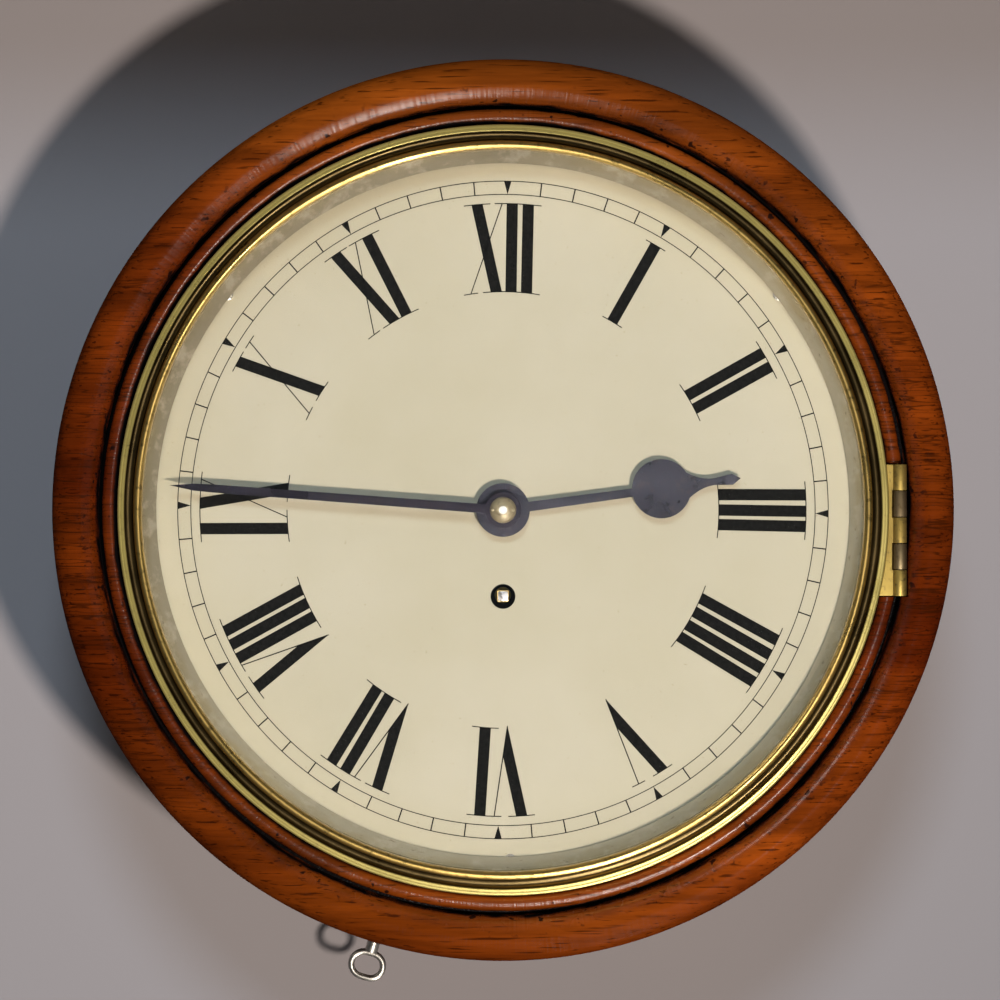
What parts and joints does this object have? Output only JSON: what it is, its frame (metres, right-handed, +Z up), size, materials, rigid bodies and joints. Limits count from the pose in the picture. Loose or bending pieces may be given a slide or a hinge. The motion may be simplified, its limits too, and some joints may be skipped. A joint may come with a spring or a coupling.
{
  "type": "fusee dial clock",
  "caption": "Round-dial wall clock in a turned wooden surround with a hinged brass bezel, a painted dial with two hands, a fusee movement with pendulum, a side door and a locked bottom door.",
  "frame": {"origin": "Point on the wall plane, at the back face of the back board, straight behind the centre of the dial.", "axes": "+Z up, the dial faces -Y, +Y points into the wall, +X is to the right as seen from the front."},
  "size_m": [0.33, 0.136, 0.3478],
  "materials": {
    "back_board": "polished mahogany",
    "case_left_side": "polished mahogany",
    "case_right_side": "polished mahogany",
    "case_top": "polished mahogany",
    "case_bottom": "polished mahogany",
    "hanging_plate": "aged",
    "plate_screws": "plain",
    "dial_surround": "polished mahogany",
    "surround_blocks": "polished mahogany",
    "case_pegs": "polished mahogany",
    "door_hinges": "aged",
    "door_hinge_pins": "plain",
    "dial_plate": "cream paint",
    "dial_screws": "aged",
    "dial_feet": "aged",
    "case_hinge_leaf": "aged",
    "bezel_hinge_pin": "plain",
    "hour_bridge": "aged",
    "front_plate": "aged",
    "back_plate": "aged",
    "pillars": "aged",
    "barrel_arbor": "plain",
    "gut_line": "gut",
    "mainspring": "plain",
    "back_cock": "aged",
    "side_door": "polished mahogany",
    "side_door_leaves": "aged",
    "side_door_knob": "aged",
    "bottom_door": "polished mahogany",
    "bottom_door_leaves": "aged",
    "lock_case": "plain",
    "lock_bolt": "aged",
    "door_key": "plain",
    "bezel_ring": "aged",
    "bezel_glass": "clear",
    "sight_ring": "silvered, worn",
    "bezel_hinge_leaf": "aged",
    "bezel_catch": "aged",
    "centre_arbor": "plain",
    "centre_wheel": "aged",
    "cannon_wheel": "aged",
    "minute_hand": "blued",
    "hand_collet": "aged",
    "hour_wheel": "aged",
    "hour_hand": "blued",
    "minute_wheel": "aged",
    "great_wheel": "aged",
    "fusee": "aged",
    "barrel": "aged",
    "third_arbor": "plain",
    "third_wheel": "aged",
    "escape_arbor": "plain",
    "escape_wheel": "aged",
    "pallet_arbor": "plain",
    "crutch": "plain",
    "suspension_spring": "plain",
    "pendulum_rod": "plain",
    "pendulum_bob": "aged",
    "rating_nut": "aged"
  },
  "bodies": {
    "case": {"back_board": "back_board", "case_left_side": "case_left_side", "case_right_side": "case_right_side", "case_top": "case_top", "case_bottom": "case_bottom", "hanging_plate": "hanging_plate", "plate_screws": "plate_screws", "dial_surround": "dial_surround", "surround_blocks": "surround_blocks", "case_pegs": "case_pegs", "door_hinges": "door_hinges", "door_hinge_pins": "door_hinge_pins", "dial_plate": "dial_plate", "dial_screws": "dial_screws", "dial_feet": "dial_feet", "case_hinge_leaf": "case_hinge_leaf", "bezel_hinge_pin": "bezel_hinge_pin", "hour_bridge": "hour_bridge", "front_plate": "front_plate", "back_plate": "back_plate", "pillars": "pillars", "barrel_arbor": "barrel_arbor", "gut_line": "gut_line", "mainspring": "mainspring", "back_cock": "back_cock"},
    "side_door": {"side_door": "side_door", "side_door_leaves": "side_door_leaves", "side_door_knob": "side_door_knob"},
    "bottom_door": {"bottom_door": "bottom_door", "bottom_door_leaves": "bottom_door_leaves", "lock_case": "lock_case"},
    "lock_bolt": {"lock_bolt": "lock_bolt"},
    "key": {"door_key": "door_key"},
    "bezel": {"bezel_ring": "bezel_ring", "bezel_glass": "bezel_glass", "sight_ring": "sight_ring", "bezel_hinge_leaf": "bezel_hinge_leaf", "bezel_catch": "bezel_catch"},
    "centre": {"centre_arbor": "centre_arbor", "centre_wheel": "centre_wheel", "cannon_wheel": "cannon_wheel", "minute_hand": "minute_hand", "hand_collet": "hand_collet"},
    "hour": {"hour_wheel": "hour_wheel", "hour_hand": "hour_hand"},
    "minute_work": {"minute_wheel": "minute_wheel"},
    "great": {"great_wheel": "great_wheel"},
    "fusee": {"fusee": "fusee"},
    "barrel": {"barrel": "barrel"},
    "third": {"third_arbor": "third_arbor", "third_wheel": "third_wheel"},
    "escape": {"escape_arbor": "escape_arbor", "escape_wheel": "escape_wheel"},
    "pallets": {"pallet_arbor": "pallet_arbor", "crutch": "crutch"},
    "pendulum": {"suspension_spring": "suspension_spring", "pendulum_rod": "pendulum_rod", "pendulum_bob": "pendulum_bob", "rating_nut": "rating_nut"}
  },
  "joints": [
    {"name": "centre_turn", "type": "hinge", "parent": "case", "child": "centre", "pos_m": [0, -0.07, 0], "axis": [0, 1, 0], "continuous": true},
    {"name": "great_turn", "type": "hinge", "parent": "case", "child": "great", "pos_m": [0, -0.07, -0.032], "axis": [0, 1, 0], "continuous": true},
    {"name": "third_turn", "type": "hinge", "parent": "case", "child": "third", "pos_m": [0.012, -0.07, 0.01933], "axis": [0, 1, 0], "continuous": true},
    {"name": "escape_turn", "type": "hinge", "parent": "case", "child": "escape", "pos_m": [0, -0.07, 0.0353], "axis": [0, 1, 0], "continuous": true},
    {"name": "minute_wheel_turn", "type": "hinge", "parent": "case", "child": "minute_work", "pos_m": [0.01273, -0.07, -0.01273], "axis": [0, 1, 0], "continuous": true},
    {"name": "hour_turn", "type": "hinge", "parent": "case", "child": "hour", "pos_m": [0, -0.07, 0], "axis": [0, 1, 0], "continuous": true},
    {"name": "winding", "type": "hinge", "parent": "case", "child": "fusee", "pos_m": [0, -0.07, -0.032], "axis": [0, 1, 0], "range_deg": [0, 5760]},
    {"name": "barrel_turn", "type": "hinge", "parent": "case", "child": "barrel", "pos_m": [-0.038, -0.07, -0.012], "axis": [0, 1, 0], "range_deg": [0, 4300]},
    {"name": "pendulum_swing", "type": "hinge", "parent": "case", "child": "pendulum", "pos_m": [0, -0.07, 0.058], "axis": [0, 1, 0], "range_deg": [-3, 3]},
    {"name": "pallets_rock", "type": "hinge", "parent": "case", "child": "pallets", "pos_m": [0, -0.07, 0.058], "axis": [0, 1, 0], "range_deg": [-3, 3]},
    {"name": "bezel_open", "type": "hinge", "parent": "case", "child": "bezel", "pos_m": [0.145, -0.131, -0.0073], "axis": [0, 0, 1], "range_deg": [0, 110]},
    {"name": "side_door_open", "type": "hinge", "parent": "case", "child": "side_door", "pos_m": [0.1072, -0.02175, 0], "axis": [0, 0, 1], "range_deg": [0, 100]},
    {"name": "bottom_door_open", "type": "hinge", "parent": "case", "child": "bottom_door", "pos_m": [0.06025, -0.0575, -0.14844], "axis": [0, -1, 0], "range_deg": [0, 105]},
    {"name": "key_turn", "type": "hinge", "parent": "bottom_door", "child": "key", "pos_m": [-0.04285, -0.052, -0.14375], "axis": [-0.2857, 0, -0.9583], "range_deg": [0, 180]},
    {"name": "bolt_slide", "type": "slide", "parent": "bottom_door", "child": "lock_bolt", "axis": [-0.9583, 0, 0.2857], "range_m": [0, 0.005]}
  ],
  "couplings": [
    {"joint": "great_turn", "follows": "centre_turn", "ratio": -0.083333},
    {"joint": "third_turn", "follows": "centre_turn", "ratio": -12},
    {"joint": "escape_turn", "follows": "centre_turn", "ratio": 133.71},
    {"joint": "minute_wheel_turn", "follows": "centre_turn", "ratio": -1},
    {"joint": "hour_turn", "follows": "centre_turn", "ratio": 0.083333},
    {"joint": "barrel_turn", "follows": "winding", "ratio": 0.74551},
    {"joint": "pallets_rock", "follows": "pendulum_swing", "ratio": 1}
  ]
}
